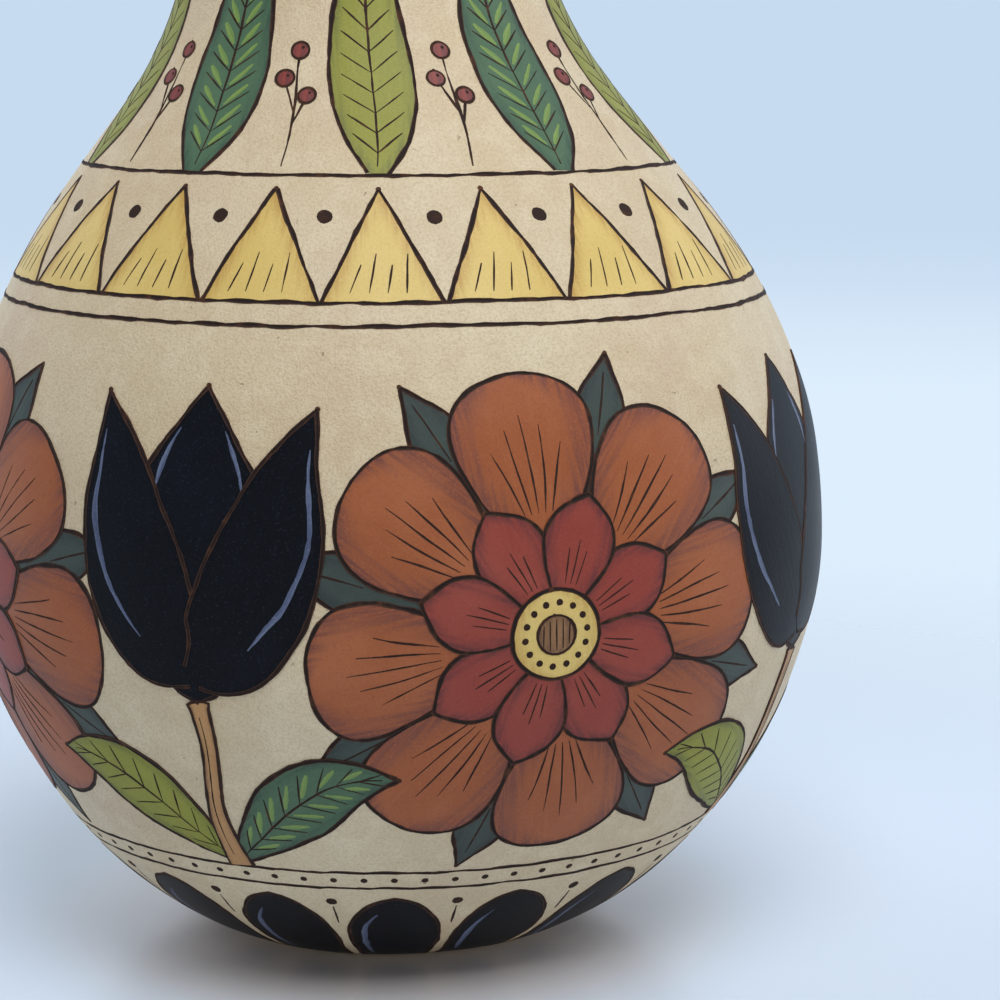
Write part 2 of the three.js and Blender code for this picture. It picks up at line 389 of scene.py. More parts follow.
# Radius, height above the seat and share of the ribs: the plug, under the foot, up the stalk, the cut end
foot_edge = -crown_drop(STEM_COLLAR_RADIUS)
plug_low = (STEM_PLUG_RADIUS, -STEM_PLUG_DEPTH, 0)
plug_high = (STEM_PLUG_RADIUS, STEM_PLUG_TOP, 0)
foot_rim = (STEM_COLLAR_RADIUS, foot_edge - STEM_FOOT_SINK, 0.6)
end_rim = (STALK_END_RADIUS, STALK_END_RIM, 1)
stem_stretches = (
    ((STEM_POLE, -STEM_PLUG_DEPTH, 0), plug_low),
    (plug_low, plug_high),
    (plug_high, foot_rim),
    (foot_rim, (11.7, foot_edge + 0.9, 0.65), (9.4, 1.6, 0.8), (7.4, 5, 1), (6, 11, 1),
     (STALK_RADIUS, 21, 1), (STALK_RADIUS, 34, 1), end_rim),
    (end_rim, (0.85 * STALK_END_RADIUS, STALK_RISE, 0.9), (0.5 * STALK_END_RADIUS, STALK_RISE - 0.8, 0.5),
     (STEM_POLE, STALK_RISE - 2, 0)),
)
stem_rings = [Vector(stem_stretches[0][0])]
for stretch in stem_stretches:
    stem_rings += smooth_line(stretch, STEM_CELL)[1:]


def stem_middle(height):
    """The stalk's middle line, which bends over as it rises, and the slope that its rings lie at."""
    share = min(max((height - STALK_BEND_START) / (STALK_RISE - STALK_BEND_START), 0), 1)
    level = stem_seat + height
    return Vector((lean_at(level) - STALK_REACH * share * share, 0, level)), STALK_TILT * share


def stem_point(turn, ring):
    """A place on the stem, how far up a rib it is, and its place in a straight stalk, for the fibres."""
    radius, height, rib_share = ring
    twist = turn + RIB_TWIST * height
    rib = 0.5 + 0.5 * math.cos(STALK_RIBS * twist)
    fibre = Vector((math.cos(twist) * radius, math.sin(twist) * radius, FIBRE_SHRINK * height))
    bulge = RIB_DEPTH * (math.sqrt(rib) - RIB_MIDDLE)
    bulge += SIDE_RIB_DEPTH * math.cos(3 * STALK_RIBS * twist + 1)
    bulge += KNOT_DEPTH * noise.noise(fibre)
    radius *= 1 + rib_share * bulge
    sag_share = min(max(1 - height / STEM_FOOT_HEIGHT, 0), 1)
    height -= sag_share * (crown_drop(radius) - crown_drop(ring.x))
    ragged = max(0, height - STALK_RISE + RAGGED_LENGTH) * RAGGED_SHARE * noise.noise(0.5 * fibre)
    middle, slope = stem_middle(height)
    x, y = radius * math.cos(turn), radius * math.sin(turn)
    place = middle + Vector((x * math.cos(slope), y, x * math.sin(slope) + ragged))
    return place * MM, rib, fibre


def stem_finish():
    """Dry bark that runs with the stalk, weathered on the ribs, with painted shade darkening the furrows."""
    material, shader, place = new_finish("dry_stem", 0.85, 0.25)
    fibre = place.node("ShaderNodeAttribute", {}, out="Vector", attribute_name="fibre")
    strand = fibre.noise(1.1, 5, 0.7)
    weather = fibre.noise(0.25, 3)
    colour = strand.ramp(0.34, 0.64).mix(STEM_DARK_STRAND_AND_SHADE, STEM_BARK)
    raised = place.attribute("rib").ramp(0.05, 0.8)
    colour = (raised * (0.25 + weather.ramp(0.4, 0.65)) * 0.7).mix(colour, STEM_WEATHERED)
    # Painted shade: the furrows between the ribs, away from their tops, are darkened
    colour = ((1 - raised) * 0.6).mix(colour, STEM_DARK_STRAND_AND_SHADE)
    colour.feed(shader, "Base Color")
    strand.bump(BARK_DEPTH, 0.8).feed(shader, "Normal")
    return material


stem_mesh = bmesh.new()
rib_layer = stem_mesh.verts.layers.float.new("rib")
fibre_layer = stem_mesh.verts.layers.float_vector.new("fibre")
stem_rows = len(stem_rings) - 1
stem_grid = bmesh.ops.create_grid(stem_mesh, x_segments=STEM_CELLS_ROUND, y_segments=stem_rows, size=0.5)
for vert in stem_grid["verts"]:
    ring = stem_rings[round((vert.co.y + 0.5) * stem_rows)]
    vert.co, vert[rib_layer], vert[fibre_layer] = stem_point(vert.co.x * 2 * math.pi, ring)
bmesh.ops.remove_doubles(stem_mesh, verts=stem_mesh.verts, dist=STEM_POLE_MERGE)
stem = make_piece("stem_stalk", stem_mesh, stem_finish())
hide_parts("stem")

# Pen work
# Every shape is first burned into the rind with a hot pen, in dark lines that swell and wander with the
# hand. They are laid as thin films just above the paint, and become two pieces once all shapes are drawn.
FILM_DEPTH = 0.9
FILL_CELL = 3
LINE_CELL = 1.6
LINE_OVER = 0.03
PEN = 0.52
FINE_PEN = 0.26
PEN_WANDER = 0.4
WANDER_LENGTH = 9
PEN_SWELL = 0.5
SWELL_LENGTH = 3.5
PEN_PRESS = 0.45
PRESS_LENGTH = 16
PEN_FRAY = 0.14
FRAY_LENGTH = 1.3
# Shifts that keep the kinds of unsteadiness, and the places round the gourd, from looking alike
FRAY_SHIFT = 30
HAND_SHIFT = 77
HAND_SPREAD = 40
PEN_REST = 1.35
POINTED_TIP = 2.6
DOT_SEGMENTS = 8
DOT_SEGMENTS_PER_MM = 6
DOT_UNEVEN = 0.14
DOT_UNEVEN_SPREAD = 3
DOT_UNEVEN_LENGTH = 2
RING_KNOTS = 12


def new_film():
    """An empty film. A point keeps its root in the rind and its distances along, across and from the rim."""
    film = bmesh.new()
    film.verts.layers.float_vector.new("root")
    for layer in ("run", "side", "rim"):
        film.verts.layers.float.new(layer)
    return film


def set_point(film, vert, place, run=0, side=0, rim=0):
    """Puts a film's point at a place on the rind and notes its root and its distances."""
    spot, out = place
    vert.co = spot
    vert[film.verts.layers.float_vector["root"]] = spot - out * (FILM_DEPTH * MM)
    for layer, value in (("run", run), ("side", side), ("rim", rim)):
        vert[film.verts.layers.float[layer]] = value


class Spot:
    """A flat drawing ground on the rind: x to the right and y up the gourd, in mm from one point."""

    def __init__(self, turn_deg, along, heading_deg=0, mirror=False, size=1):
        self.turn = math.radians(turn_deg)
        self.along = along
        self.cos = math.cos(math.radians(heading_deg)) * size
        self.sin = math.sin(math.radians(heading_deg)) * size
        self.mirror = -1 if mirror else 1

    def flat(self, x, y):
        x *= self.mirror
        return x * self.cos - y * self.sin, x * self.sin + y * self.cos

    def point(self, x, y, lift):
        right, up = self.flat(x, y)
        along = self.along + up
        return on_rind(self.turn + right / ring_at(along)[0].x, along, lift)

    def hand(self, x, y, width):
        """The unsteadiness of the hand at a point, from -1 to 1, over a width in mm."""
        right, up = self.flat(x, y)
        return noise.noise(Vector((right / width, up / width, HAND_SPREAD * self.turn)))


def left_of(line, i):
    """The unit direction to the left of a line at one of its points."""
    along = line[min(i + 1, len(line) - 1)] - line[max(i - 1, 0)]
    return Vector((-along.y, along.x)).normalized()


def face_out(film, spot, verts):
    """Turns new faces over where the drawing ground is mirrored."""
    if spot.mirror < 0:
        bmesh.ops.reverse_faces(film, faces=list({face for vert in verts for face in vert.link_faces}))


def lay(film, spot, long_cells, wide_cells, point_at):
    """Lays a strip of film. point_at gives x, y, lift, run, side and rim for a step and a side, -1 to 1."""
    strip = bmesh.ops.create_grid(film, x_segments=long_cells, y_segments=wide_cells, size=0.5)
    for vert in strip["verts"]:
        step = round((vert.co.x + 0.5) * long_cells)
        x, y, lift, *distances = point_at(step, 2 * vert.co.y)
        set_point(film, vert, spot.point(x, y, lift), *distances)
    face_out(film, spot, strip["verts"])


def fill(film, spot, line, lift):
    """Paints a blade: the points of its middle line, with the half-width at each."""
    widest = max(point.z for point in line)

    def point_at(step, side):
        point = line[step]
        edge = point.to_2d() + left_of(line, step) * (side * point.z)
        run = (point - line[0]).to_2d().length
        return edge.x, edge.y, lift, run, side * point.z, (1 - abs(side)) * point.z

    lay(film, spot, len(line) - 1, max(2, math.ceil(2 * widest / FILL_CELL)), point_at)


def draw(film, spot, points, half_width, lift, taper=0, cells=1, gap=LINE_CELL):
    """Draws a line by hand. taper is the share of the width that is lost towards both ends."""
    line = smooth_line(points, gap)
    last = len(line) - 1
    firmness = min(1, half_width / PEN)

    def point_at(step, side):
        point = line[step]
        wander = PEN_WANDER * firmness * spot.hand(point.x, point.y, WANDER_LENGTH)
        swell = PEN_SWELL * spot.hand(point.x + HAND_SHIFT, point.y, SWELL_LENGTH)
        press = PEN_PRESS * spot.hand(point.x, point.y + HAND_SHIFT, PRESS_LENGTH)
        width = half_width * (1 + swell + press)
        width *= 1 - taper * abs(2 * step / last - 1) ** 2
        width += PEN_FRAY * firmness * spot.hand(point.x + FRAY_SHIFT * side, point.y, FRAY_LENGTH)
        edge = point.to_2d() + left_of(line, step) * (wander + side * width)
        return edge.x, edge.y, lift, step * gap, side * width, (1 - abs(side)) * half_width

    lay(film, spot, last, cells, point_at)


def dot(film, spot, x, y, radius, lift):
    """A touch of the brush or pen, not quite round."""
    segments = max(DOT_SEGMENTS, round(DOT_SEGMENTS_PER_MM * radius))
    ring = bmesh.ops.create_circle(film, cap_ends=True, segments=segments, radius=radius)
    for vert in ring["verts"]:
        right, up = DOT_UNEVEN_SPREAD * vert.co.x, DOT_UNEVEN_SPREAD * vert.co.y
        reach = 1 + DOT_UNEVEN * spot.hand(x + right, y + up, DOT_UNEVEN_LENGTH)
        set_point(film, vert, spot.point(x + vert.co.x * reach, y + vert.co.y * reach, lift))
    face_out(film, spot, ring["verts"])


def edge_of(line):
    """The outline of a blade, up its left side and down its right."""
    left = [point.to_2d() + left_of(line, i) * point.z for i, point in enumerate(line)]
    right = [point.to_2d() - left_of(line, i) * point.z for i, point in enumerate(line)]
    return left + right[::-1]


def outlined(film, spot, line, lift, half_width=PEN, gap=LINE_CELL):
    """Paints a blade and burns its outline. The pen rests on a pointed tip and burns a small blot there."""
    fill(film, spot, line, lift)
    edge = edge_of(line)
    if line[0].z < half_width:
        edge.append(edge[0])
    draw(outlines, spot, edge, half_width, lift + LINE_OVER, cells=2, gap=gap)
    if line[-2].z < POINTED_TIP:
        dot(outlines, spot, line[-1].x, line[-1].y, half_width * PEN_REST, lift + LINE_OVER)


def pen(spot, points, lift, half_width=FINE_PEN, taper=0.5):
    """A fine burned stroke that thins towards its ends."""
    draw(strokes, spot, points, half_width, lift + LINE_OVER, taper)


def pen_ring(along, lift=0):
    """A line burned once round the gourd, begun and ended at the back."""
    length = 2 * math.pi * ring_at(along)[0].x
    knots = [(length * i / RING_KNOTS, 0) for i in range(RING_KNOTS + 1)]
    draw(outlines, Spot(180, along), knots, PEN, lift + LINE_OVER, cells=2)


outlines = new_film()
strokes = new_film()

# Foot tongues
# A ring of blue-black tongues round the foot, under a double pen line with a row of dots.
# Each has a soft periwinkle stroke inside its edge.
EDGE_CELL = 2
PAINT_RIDGE = 0.00015
TONGUES = 16
TONGUE_ALONG = 13
TONGUE_LIFT = 0.08
TONGUE = smooth_line(
    ((0, 0, 7.6), (0, 10, 9.4), (0, 22, 11.4), (0, 32, 11.4), (0, 39, 8.6), (0, 43, 5.2), (0, 45, 0.8)),
    EDGE_CELL)
TONGUE_STROKE = ((-5.5, 8), (-7.6, 20), (-7.6, 30), (-4.5, 37))
BRUSH = 0.8
BRUSH_TAPER = 0.8
GAP_RISE = 38
GAP_STROKE = ((0, -6), (0, 3))
GAP_PEN = 0.3
GAP_DOT = 1.5
GAP_DOT_RISE = 5.5
FOOT_RINGS = (63, 69.5)
FOOT_DOTS = 72
FOOT_DOT = 0.95


def film_piece(name, film, material):
    """Gives a film its depth, down to its roots in the rind, and makes it a piece."""
    root = film.verts.layers.float_vector["root"]
    laid = film.verts[:]
    bmesh.ops.extrude_face_region(film, geom=film.faces[:])
    for vert in laid:
        vert.co = vert[root]
    return make_piece(name, film, material)


def paint(name, body, shade, light, grit=None, roughness=0.5, specular=0.4, shade_reach=5):
    """Artist's acrylic: brushed along the stroke, shaded towards the rim, dry-brushed with a lighter tint.
    The rind's grain shows through as fine dark and light specks."""
    material, shader, place = new_finish(name, roughness, specular)
    run, side, rim = (place.attribute(layer) for layer in ("run", "side", "rim"))
    brushed = place.node("ShaderNodeCombineXYZ", {"X": run * 0.05, "Y": side * 0.7, "Z": run * 0.003})
    streak = brushed.noise(1.0, 4, 0.6)
    cloud = place.noise(38, 4, 0.6)
    tooth = place.noise(1700, 2, 0.7)
    near_rim = 1 - rim.ramp(0.2, shade_reach)
    colour = (cloud.ramp(0.42, 0.7) * 0.55).mix(body, light)
    colour = (streak.ramp(0.5, 0.78) * 0.45).mix(colour, light)
    colour = (near_rim * (0.3 + streak.ramp(0.35, 0.65)) * 0.75).mix(colour, shade)
    colour = (tooth.ramp(0.52, 0.72) * 0.3).mix(colour, shade)
    colour = ((1 - tooth.ramp(0.3, 0.42)) * 0.5).mix(colour, grit or light)
    colour.feed(shader, "Base Color")
    (roughness - 0.08 + 0.16 * cloud).feed(shader, "Roughness")
    (streak + 0.8 * tooth).bump(PAINT_RIDGE, 0.5).feed(shader, "Normal")
    return material


tongues = new_film()
periwinkle = new_film()
for k in range(TONGUES):
    spot = Spot(360 * k / TONGUES, TONGUE_ALONG)
    outlined(tongues, spot, TONGUE, TONGUE_LIFT)
    draw(periwinkle, spot, TONGUE_STROKE, BRUSH, TONGUE_LIFT + LINE_OVER, BRUSH_TAPER)
    between = Spot(360 * (k + 0.5) / TONGUES, TONGUE_ALONG + GAP_RISE)
    pen(between, GAP_STROKE, 0, GAP_PEN)
    dot(strokes, between, 0, GAP_DOT_RISE, GAP_DOT, LINE_OVER)
pen_ring(TONGUE_ALONG - 1)
for along in FOOT_RINGS:
    pen_ring(along)
for k in range(FOOT_DOTS):
    dot(strokes, Spot(360 * k / FOOT_DOTS, sum(FOOT_RINGS) / 2), 0, 0, FOOT_DOT, LINE_OVER)
navy_paint = paint(
    "navy_acrylic", srgb(7, 8, 13), srgb(4, 4, 8), srgb(14, 17, 25), grit=srgb(40, 46, 58),
    roughness=0.42, specular=0.1, shade_reach=3)
film_piece("foot_tongues", tongues, navy_paint)

# Rosettes
# Four large flowers round the belly. Eight orange petals, shaded plum at the edges, lie over slate-green
# sepals, and eight small red petals lie on them, round a yellow eye with a brown middle.
ROSETTES = 4
ROSETTE_STEP_DEG = 360 / ROSETTES
ROSETTE_TURN_DEG = 20
ROSETTE_ALONG = 139
ROSETTE_PETALS = 8
SEPAL_LIFT = 0.06
ORANGE_LIFT = 0.13
RED_LIFT = 0.27
EYE_LIFT = 0.4
EYE_MIDDLE_LIFT = 0.47
PETAL_STEP = 0.06
BLOOM_RANGE = (0.96, 1.02)
SWING_DEG = 9
PETAL_SWAY_DEG = 1.5
PETAL_SIZE_RANGE = (0.97, 1.03)
ROUND_END = 0.02
EYE_RADIUS = 11.5
EYE_DOTS = 14
EYE_DOT = 0.9
EYE_DOT_REACH = 8.2
EYE_MIDDLE = 5
EYE_MIDDLE_PEN = 0.36
EYE_HATCH_GAP = 1.7
EYE_HATCH_SLANT = 0.4
EYE_HATCH_SHARE = 0.8
EYE_HATCH_PEN = 0.2


def rounded(start, length, half_width, base_share=1, steps=24):
    """A blade with round ends. A low base_share narrows it towards its start, as a petal narrows."""
    line = []
    for i in range(steps + 1):
        angle = math.pi * i / steps
        share = (1 - math.cos(angle)) / 2
        narrowing = base_share + (1 - base_share) * share
        line.append(Vector((0, start + length * share, max(math.sin(angle), ROUND_END) * narrowing)))
    widest = max(point.z for point in line)
    for point in line:
        point.z *= half_width / widest
    return line


SEPAL = smooth_line(
    ((0, 28, 4), (0, 40, 6.4), (0, 51, 8), (0, 60, 6), (0, 66, 2.6), (0, 71, 0.05)), EDGE_CELL)
ORANGE_PETAL = rounded(12, 52, 18.2, 0.15)
RED_PETAL = smooth_line(
    ((0, 8, 3), (0, 16, 7.4), (0, 23, 9.4), (0, 29, 7.6), (0, 33, 3.6), (0, 35.5, 0.05)), LINE_CELL)
EYE = rounded(-EYE_RADIUS, 2 * EYE_RADIUS, EYE_RADIUS)
EYE_MIDDLE_DISC = rounded(-EYE_MIDDLE, 2 * EYE_MIDDLE, EYE_MIDDLE, steps=14)
SEPAL_RIB = ((0, 50), (0, 66))
ORANGE_STROKES = ((-9, 46), (-4.5, 51), (0, 54), (4.5, 51), (9, 46))
ORANGE_TAPER = 0.7
RED_STROKES = (-2.4, 0, 2.4)
RED_PEN = FINE_PEN * 0.8
rosette_turns = [ROSETTE_TURN_DEG + ROSETTE_STEP_DEG * k for k in range(ROSETTES)]
luck = random.Random(8)
sepals = new_film()
orange = new_film()
red = new_film()
eyes = new_film()
middles = new_film()
for turn in rosette_turns:
    bloom = luck.uniform(*BLOOM_RANGE)
    swing = luck.uniform(-SWING_DEG, SWING_DEG)
    for k in range(ROSETTE_PETALS):
        heading = swing + 360 * k / ROSETTE_PETALS + luck.uniform(-PETAL_SWAY_DEG, PETAL_SWAY_DEG)
        spot = Spot(turn, ROSETTE_ALONG, heading + 180 / ROSETTE_PETALS, size=bloom)
        outlined(sepals, spot, SEPAL, SEPAL_LIFT)
        pen(spot, SEPAL_RIB, SEPAL_LIFT)
        spot = Spot(turn, ROSETTE_ALONG, heading, size=bloom * luck.uniform(*PETAL_SIZE_RANGE))
        lift = ORANGE_LIFT + PETAL_STEP * (k % 2)
        outlined(orange, spot, ORANGE_PETAL, lift)
        for x, reach in ORANGE_STROKES:
            pen(spot, ((x * 0.4, 30), (x * 0.75, 40), (x, reach)), lift, taper=ORANGE_TAPER)
        spot = Spot(turn, ROSETTE_ALONG, heading + 180 / ROSETTE_PETALS, size=bloom)
        lift = RED_LIFT + PETAL_STEP * (k % 2)
        outlined(red, spot, RED_PETAL, lift)
        for x in RED_STROKES:
            pen(spot, ((x * 0.6, 13), (x, 24 - abs(x))), lift, RED_PEN)
    spot = Spot(turn, ROSETTE_ALONG, swing, size=bloom)
    outlined(eyes, spot, EYE, EYE_LIFT)
    outlined(middles, spot, EYE_MIDDLE_DISC, EYE_MIDDLE_LIFT, EYE_MIDDLE_PEN)
    for k in range(EYE_DOTS):
        angle = 2 * math.pi * k / EYE_DOTS
        x, y = EYE_DOT_REACH * math.cos(angle), EYE_DOT_REACH * math.sin(angle)
        dot(strokes, spot, x, y, EYE_DOT, EYE_LIFT + LINE_OVER)
    for k in range(-2, 3):
        x = EYE_HATCH_GAP * k
        half = EYE_HATCH_SHARE * math.sqrt(EYE_MIDDLE ** 2 - x ** 2)
        ends = ((x - EYE_HATCH_SLANT, -half), (x + EYE_HATCH_SLANT, half))
        pen(spot, ends, EYE_MIDDLE_LIFT, EYE_HATCH_PEN)
slate_paint = paint("slate_acrylic", srgb(49, 59, 51), srgb(31, 38, 34), srgb(63, 74, 65))
orange_paint = paint(
    "orange_acrylic", srgb(153, 80, 36), srgb(98, 50, 43), srgb(168, 98, 58), shade_reach=10)
red_paint = paint("red_acrylic", srgb(139, 52, 37), srgb(88, 33, 33), srgb(152, 71, 54))
yellow_paint = paint("yellow_acrylic", srgb(212, 183, 104), srgb(183, 144, 71), srgb(224, 199, 126))
brown_paint = paint("brown_acrylic", srgb(138, 99, 63), srgb(95, 66, 42), srgb(164, 121, 81))
film_piece("rosette_sepals", sepals, slate_paint)
film_piece("rosette_petals", orange, orange_paint)
film_piece("rosette_hearts", red, red_paint)
film_piece("rosette_eyes", eyes, yellow_paint)
film_piece("rosette_middles", middles, brown_paint)

# Tulips
# Between the rosettes a blue-black tulip stands on a tan stalk. A yellow-green and a blue-green leaf
# with pen veins spring from the stalk's foot.
STALK_ALONG = 70
LEAF_LIFT = 0.26
STALK_LIFT = 0.33
TULIP_ALONG = 128
TULIP_LIFTS = (0.26, 0.32, 0.38)
STALK = smooth_line(((0, 0, 3.2), (1.2, 18, 2.2), (-1, 38, 2), (0, 51.5, 2.6)), EDGE_CELL)
LEAF = smooth_line(
    ((0.5, 2, 1), (8, 10, 5.5), (18, 20, 9.5), (29, 28, 9), (39, 31, 5), (48, 31, 0.05)), EDGE_CELL)
TULIP_MIDDLE = smooth_line(
    ((0, -6.5, 0.3), (0, -4.5, 5), (0, 6, 13), (0, 20, 19),
     (0, 38, 21), (0, 52, 15), (0, 64, 7), (0, 74, 0.05)), EDGE_CELL)
TULIP_OUTER = smooth_line(
    ((0.6, 0.2, 3.2), (-8, 7, 12), (-16, 22, 15),
     (-21, 38, 13), (-24, 54, 7.5), (-29, 70, 0.05)), EDGE_CELL)
TULIP_STROKE = ((-15, 9), (-25, 22), (-30, 37), (-29, 50), (-28.5, 60))
TULIP_INNER_STROKE = ((-12, 47), (-10, 55), (-6, 63))
TULIP_INNER_BRUSH = 0.6
TULIP_TILT_DEG = 3
TULIP_SIZE_RANGE = (0.95, 1.03)
STALK_PEN = 0.4
STALK_GRAIN = 0.5
STALK_GRAIN_PEN = 0.18
LEAF_SWAY_DEG = 5
MIDRIB_PEN = 0.32
VEIN_GAP = 3
VEIN_REACH = 0.72
VEIN_PEN = FINE_PEN * 0.85
LIGHT_VEIN = 0.7
LIGHT_VEIN_START = 1.2
LIGHT_VEIN_REACH = 0.62
LIGHT_VEIN_OVER = 0.02
LIGHT_VEIN_TAPER = 0.6
stalks = new_film()
olive = new_film()
teal = new_film()
green_strokes = new_film()
tulips = new_film()


def veins(spot, line, lift):
    """A leaf's midrib and the veins that slant from it."""
    pen(spot, [point.to_2d() for point in line[1:-2]], lift, MIDRIB_PEN)
    for i in range(VEIN_GAP, len(line) - VEIN_GAP - 1, VEIN_GAP):
        tip = line[i + VEIN_GAP]
        for side in (1, -1):
            end = tip.to_2d() + left_of(line, i + VEIN_GAP) * (side * VEIN_REACH * tip.z)
            pen(spot, (line[i].to_2d(), end), lift, VEIN_PEN)


def leaf(film, spot, line, lift, light_veins):
    """A painted leaf. light_veins adds pale strokes between the pen veins."""
    outlined(film, spot, line, lift)
    veins(spot, line, lift)
    if light_veins:
        for i in range(VEIN_GAP, len(line) - VEIN_GAP - 3, VEIN_GAP):
            start, tip = line[i + 1], line[i + VEIN_GAP + 1]
            for side in (1, -1):
                left = left_of(line, i + VEIN_GAP) * side
                low = start.to_2d() + left * LIGHT_VEIN_START
                high = tip.to_2d() + left * LIGHT_VEIN_REACH * tip.z
                draw(green_strokes, spot, (low, high), LIGHT_VEIN, lift + LIGHT_VEIN_OVER, LIGHT_VEIN_TAPER)


for turn in (rosette_turn + ROSETTE_STEP_DEG / 2 for rosette_turn in rosette_turns):
    sway = luck.uniform(-LEAF_SWAY_DEG, LEAF_SWAY_DEG)
    leaf(olive, Spot(turn, STALK_ALONG, sway, mirror=True), LEAF, LEAF_LIFT, False)
    sway = luck.uniform(-LEAF_SWAY_DEG, LEAF_SWAY_DEG)
    leaf(teal, Spot(turn, STALK_ALONG, sway), LEAF, LEAF_LIFT, True)
    spot = Spot(turn, STALK_ALONG, mirror=luck.random() < 0.5)
    outlined(stalks, spot, STALK, STALK_LIFT, STALK_PEN)
    pen(spot, [(point.x + STALK_GRAIN, point.y) for point in STALK[2:-2]], STALK_LIFT, STALK_GRAIN_PEN)
    middle_lift, *outer_lifts = TULIP_LIFTS
    tilt = luck.uniform(-TULIP_TILT_DEG, TULIP_TILT_DEG)
    bloom = luck.uniform(*TULIP_SIZE_RANGE)
    outlined(tulips, Spot(turn, TULIP_ALONG, tilt, size=bloom), TULIP_MIDDLE, middle_lift)
    for mirror, lift in zip((False, True), outer_lifts):
        spot = Spot(turn, TULIP_ALONG, tilt, mirror, bloom)
        outlined(tulips, spot, TULIP_OUTER, lift)
        draw(periwinkle, spot, TULIP_STROKE, BRUSH, lift + LINE_OVER, BRUSH_TAPER)
        draw(periwinkle, spot, TULIP_INNER_STROKE, TULIP_INNER_BRUSH, middle_lift + LINE_OVER, BRUSH_TAPER)
vine_paint = paint(
    "tan_acrylic", srgb(174, 127, 77), srgb(126, 87, 52), srgb(192, 148, 95), shade_reach=1.4)
periwinkle_paint = paint(
    "periwinkle_acrylic", srgb(96, 106, 132), srgb(62, 70, 96), srgb(120, 130, 154), shade_reach=0.7)
film_piece("tulip_stalks", stalks, vine_paint)
film_piece("tulip_heads", tulips, navy_paint)
film_piece("periwinkle_strokes", periwinkle, periwinkle_paint)

# Shoulder zigzag
# A row of yellow teeth between two pen lines where the gourd starts to narrow, hatched with the pen,
# and a dot in the bare rind over each gap.
TEETH = 20
TOOTH_ALONG = 220
TOOTH_LIFT = 0.08
TOOTH = smooth_line(((0, 0, 14.9), (0, 15, 7.7), (0, 31, 0.05)), EDGE_CELL)
TOOTH_HATCHES = 4
TOOTH_HATCH_START = -8
TOOTH_HATCH_GAP = 4.6
TOOTH_DOT = 2
TOOTH_DOT_RISE = 23
HATCH_PEN = FINE_PEN * 0.85
SHOULDER_RINGS = (214, TOOTH_ALONG, 255)
teeth = new_film()
for k in range(TEETH):
    spot = Spot(360 * k / TEETH, TOOTH_ALONG)
    outlined(teeth, spot, TOOTH, TOOTH_LIFT)
    for i in range(TOOTH_HATCHES):
        x = TOOTH_HATCH_START + TOOTH_HATCH_GAP * i
        pen(spot, ((x, 2.5), (x + 3 - 0.8 * i, 10 + 3 * (i % 2))), TOOTH_LIFT, HATCH_PEN)
    dot(strokes, Spot(360 * (k + 0.5) / TEETH, TOOTH_ALONG + TOOTH_DOT_RISE), 0, 0, TOOTH_DOT, LINE_OVER)
for along in SHOULDER_RINGS:
    pen_ring(along, TOOTH_LIFT)
film_piece("zigzag_teeth", teeth, yellow_paint)

# Neck leaves
# Ten slender leaves that stand on the zigzag and close in round the neck. A sprig of three red berries,
# each with a pen dot on it, stands in every gap.
NECK_LEAVES = 10
NECK_LEAF_ALONG = 255.5
NECK_LEAF_LIFT = 0.08
NECK_LEAF = smooth_line(
    ((0, 0, 2.6), (0.5, 12, 8.6), (0, 26, 10.6), (-0.5, 44, 8.8), (0.5, 60, 5), (0, 75, 0.05)), EDGE_CELL)
BERRY = 2.3
BERRY_LIFT = 0.1
BERRY_PEN = 0.32
BERRY_CELL = 0.7
BERRY_DOT = 0.45
BERRY_DOT_RIGHT = 0.7
BERRY_DOT_UP = 0.8
SPRIG = ((0, 2), (0.7, 14), (0, 31))
SPRIG_PEN = 0.36
BERRY_STEM_PEN = 0.3
BERRY_STEMS = (((0, 30), (0, 36)), ((0.5, 18), (-3.1, 28)), ((0.6, 14), (3.3, 23)))
berries = new_film()
for k in range(NECK_LEAVES):
    spot = Spot(360 * k / NECK_LEAVES, NECK_LEAF_ALONG)
    leaf((olive, teal)[k % 2], spot, NECK_LEAF, NECK_LEAF_LIFT, k % 2)
    spot = Spot(360 * (k + 0.5) / NECK_LEAVES, NECK_LEAF_ALONG)
    pen(spot, SPRIG, 0, SPRIG_PEN)
    for fork, (x, y) in BERRY_STEMS:
        pen(spot, (fork, (x, y)), 0, BERRY_STEM_PEN)
        disc = [point + Vector((x, y, 0)) for point in rounded(-BERRY, 2 * BERRY, BERRY, steps=16)]
        outlined(berries, spot, disc, BERRY_LIFT, BERRY_PEN, BERRY_CELL)
        dot(strokes, spot, x + BERRY_DOT_RIGHT, y + BERRY_DOT_UP, BERRY_DOT, BERRY_LIFT + LINE_OVER)
olive_paint = paint(
    "olive_acrylic", srgb(131, 131, 30), srgb(95, 96, 26), srgb(147, 148, 48), shade_reach=4)
teal_paint = paint("teal_acrylic", srgb(67, 95, 66), srgb(43, 66, 50), srgb(82, 110, 79), shade_reach=4)
green_paint = paint(
    "light_green_acrylic", srgb(122, 146, 70), srgb(102, 128, 64), srgb(138, 162, 86), shade_reach=1)
film_piece("neck_berries", berries, red_paint)
film_piece("olive_leaves", olive, olive_paint)
film_piece("teal_leaves", teal, teal_paint)
film_piece("leaf_strokes", green_strokes, green_paint)

